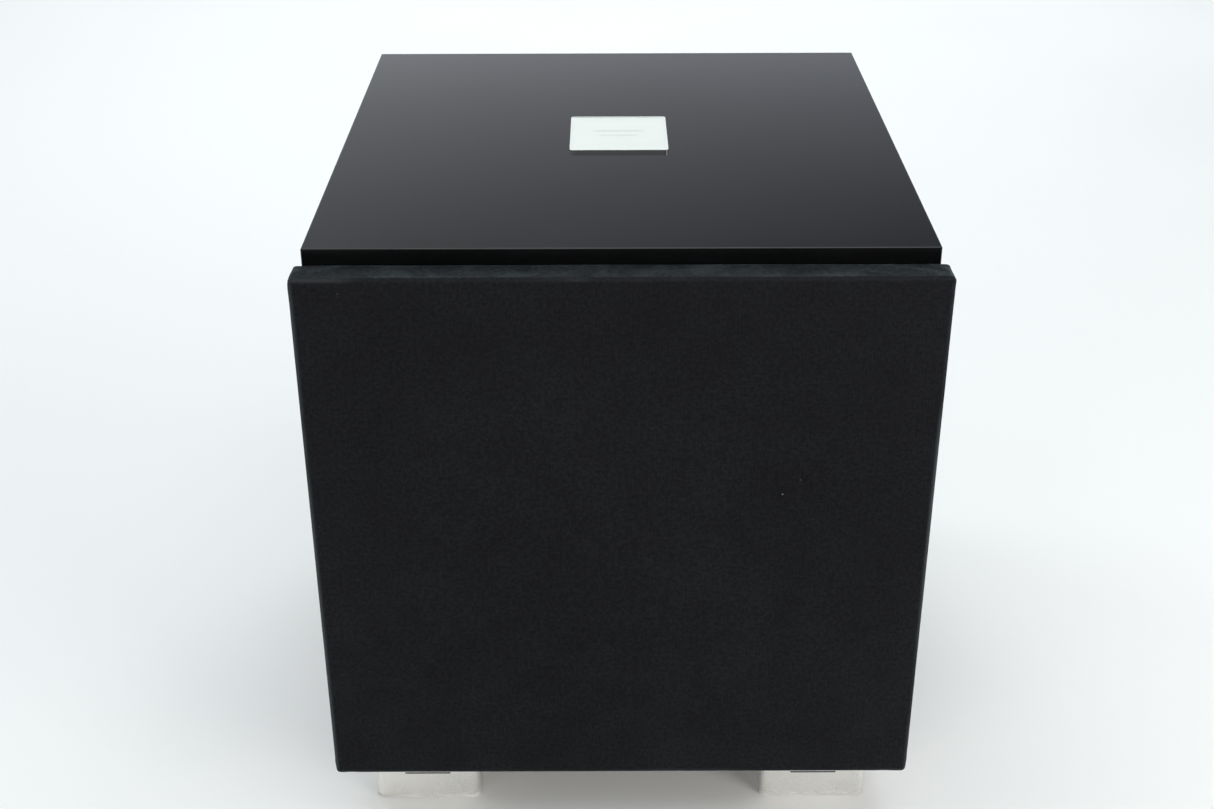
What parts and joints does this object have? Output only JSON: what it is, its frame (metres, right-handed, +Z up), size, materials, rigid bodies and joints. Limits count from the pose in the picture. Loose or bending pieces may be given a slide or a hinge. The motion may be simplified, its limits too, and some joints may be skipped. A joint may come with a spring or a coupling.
{
  "type": "powered subwoofer",
  "caption": "Gloss-black powered subwoofer: cube-like cabinet on block feet, cloth front grille, woofer, passive radiator underneath and rear amplifier plate.",
  "frame": {"origin": "centre of the overall box at floor level, under the feet's pads", "axes": "+Z up; the grille faces -Y and the amplifier plate +Y; +X is to the right seen from the front"},
  "size_m": [0.34, 0.385, 0.3772],
  "materials": {
    "black_lacquer": "high-gloss black lacquer over fibreboard",
    "plywood": "raw birch plywood",
    "wadding": "loose white polyester wadding",
    "badge_silver": "satin silver plate with a bright bevelled rim",
    "foot_metal": "satin machined aluminium",
    "foot_pad": "pale translucent soft pad",
    "bright_steel": "zinc-plated steel",
    "black_steel": "black-finished steel",
    "brass": "turned brass",
    "grille_plastic": "black moulded plastic",
    "grille_cloth": "black knitted acoustic cloth",
    "black_rubber": "black moulded rubber",
    "cast_frame": "die-cast aluminium, black powder coat",
    "cone": "black mineral-filled polypropylene",
    "spider_cloth": "resin-treated woven cotton",
    "copper_coil": "enamelled copper wire on an aluminium former",
    "ferrite": "sintered ferrite, matt",
    "plate_black": "black anodised aluminium",
    "sink_aluminium": "extruded aluminium, mill finish",
    "board_green": "solder-masked glass-epoxy board",
    "toroid_tape": "wound copper and steel core under amber tape",
    "capacitor_sleeve": "dark blue shrink sleeve",
    "lead_red": "red insulated wire",
    "knob_black": "satin black moulded plastic",
    "switch_chrome": "polished nickel plate",
    "gloss_black": "glossy black moulded plastic",
    "inlet_black": "matt black moulded plastic",
    "fuse_glass": "clear glass tube"
  },
  "bodies": {
    "cabinet": {"top_panel": "black_lacquer", "bottom_panel": "black_lacquer", "side_panels": "black_lacquer", "front_baffle": "black_lacquer", "rear_panel": "black_lacquer", "window_brace": "plywood", "damping_wadding": "wadding", "badge": "badge_silver", "foot_front_left": "foot_metal", "foot_front_right": "foot_metal", "foot_rear_left": "foot_metal", "foot_rear_right": "foot_metal", "foot_pads": "foot_pad", "foot_bolts": "bright_steel", "threaded_inserts": "brass", "grille_sockets": "black_rubber", "woofer_basket": "cast_frame", "woofer_surround": "black_rubber", "woofer_spider": "spider_cloth", "woofer_top_plate": "bright_steel", "woofer_magnet": "ferrite", "woofer_back_plate": "bright_steel", "woofer_terminals": "brass", "radiator_basket": "cast_frame", "radiator_surround": "black_rubber", "radiator_spider": "spider_cloth", "gaskets": "black_rubber", "driver_screws": "black_steel", "amp_plate": "plate_black", "amp_screws": "black_steel", "amp_heatsink": "sink_aluminium", "circuit_boards": "board_green", "board_posts": "brass", "transformer": "toroid_tape", "transformer_clamp": "bright_steel", "filter_capacitors": "capacitor_sleeve", "speaker_leads": "lead_red", "potentiometers": "bright_steel", "phase_switch_body": "bright_steel", "power_switch_housing": "inlet_black", "mains_inlet": "inlet_black", "mains_pins": "switch_chrome", "line_sockets": "brass", "high_level_socket": "inlet_black"},
    "grille": {"grille_frame": "grille_plastic", "grille_cloth": "grille_cloth", "grille_pegs": "grille_plastic"},
    "woofer_motion": {"woofer_cone": "cone", "woofer_dust_cap": "cone", "woofer_voice_coil": "copper_coil"},
    "radiator_motion": {"radiator_cone": "cone", "radiator_mass": "bright_steel"},
    "crossover_control": {"crossover_knob": "knob_black", "crossover_shaft": "bright_steel"},
    "level_control": {"level_knob": "knob_black", "level_shaft": "bright_steel"},
    "phase_lever": {"phase_toggle": "switch_chrome"},
    "rocker": {"power_rocker": "gloss_black"},
    "fuse_tray": {"fuse_drawer": "inlet_black", "fuse": "fuse_glass"}
  },
  "joints": [
    {"name": "grille_pull_off", "type": "slide", "parent": "cabinet", "child": "grille", "axis": [0, -1, 0], "range_m": [0, 0.04]},
    {"name": "cone_travel", "type": "slide", "parent": "cabinet", "child": "woofer_motion", "axis": [0, -1, 0], "range_m": [-0.012, 0.012], "stiffness_N_per_m": 2500, "deforming": ["woofer_surround", "woofer_spider"]},
    {"name": "radiator_travel", "type": "slide", "parent": "cabinet", "child": "radiator_motion", "axis": [0, 0, 1], "range_m": [-0.014, 0.014], "stiffness_N_per_m": 2000, "springref_m": 0.0016, "deforming": ["radiator_surround", "radiator_spider"]},
    {"name": "crossover_turn", "type": "hinge", "parent": "cabinet", "child": "crossover_control", "pos_m": [0.05, 0.1805, 0.298], "axis": [0, 1, 0], "range_deg": [-150, 150]},
    {"name": "level_turn", "type": "hinge", "parent": "cabinet", "child": "level_control", "pos_m": [-0.05, 0.1805, 0.298], "axis": [0, 1, 0], "range_deg": [-150, 150]},
    {"name": "phase_flip", "type": "hinge", "parent": "cabinet", "child": "phase_lever", "pos_m": [0, 0.1805, 0.298], "axis": [1, 0, 0], "range_deg": [0, 24]},
    {"name": "power_rock", "type": "hinge", "parent": "cabinet", "child": "rocker", "pos_m": [0.058, 0.1785, 0.116], "axis": [1, 0, 0], "range_deg": [0, 18]},
    {"name": "fuse_drawer_slide", "type": "slide", "parent": "cabinet", "child": "fuse_tray", "axis": [0, 1, 0], "range_m": [0, 0.015]}
  ]
}
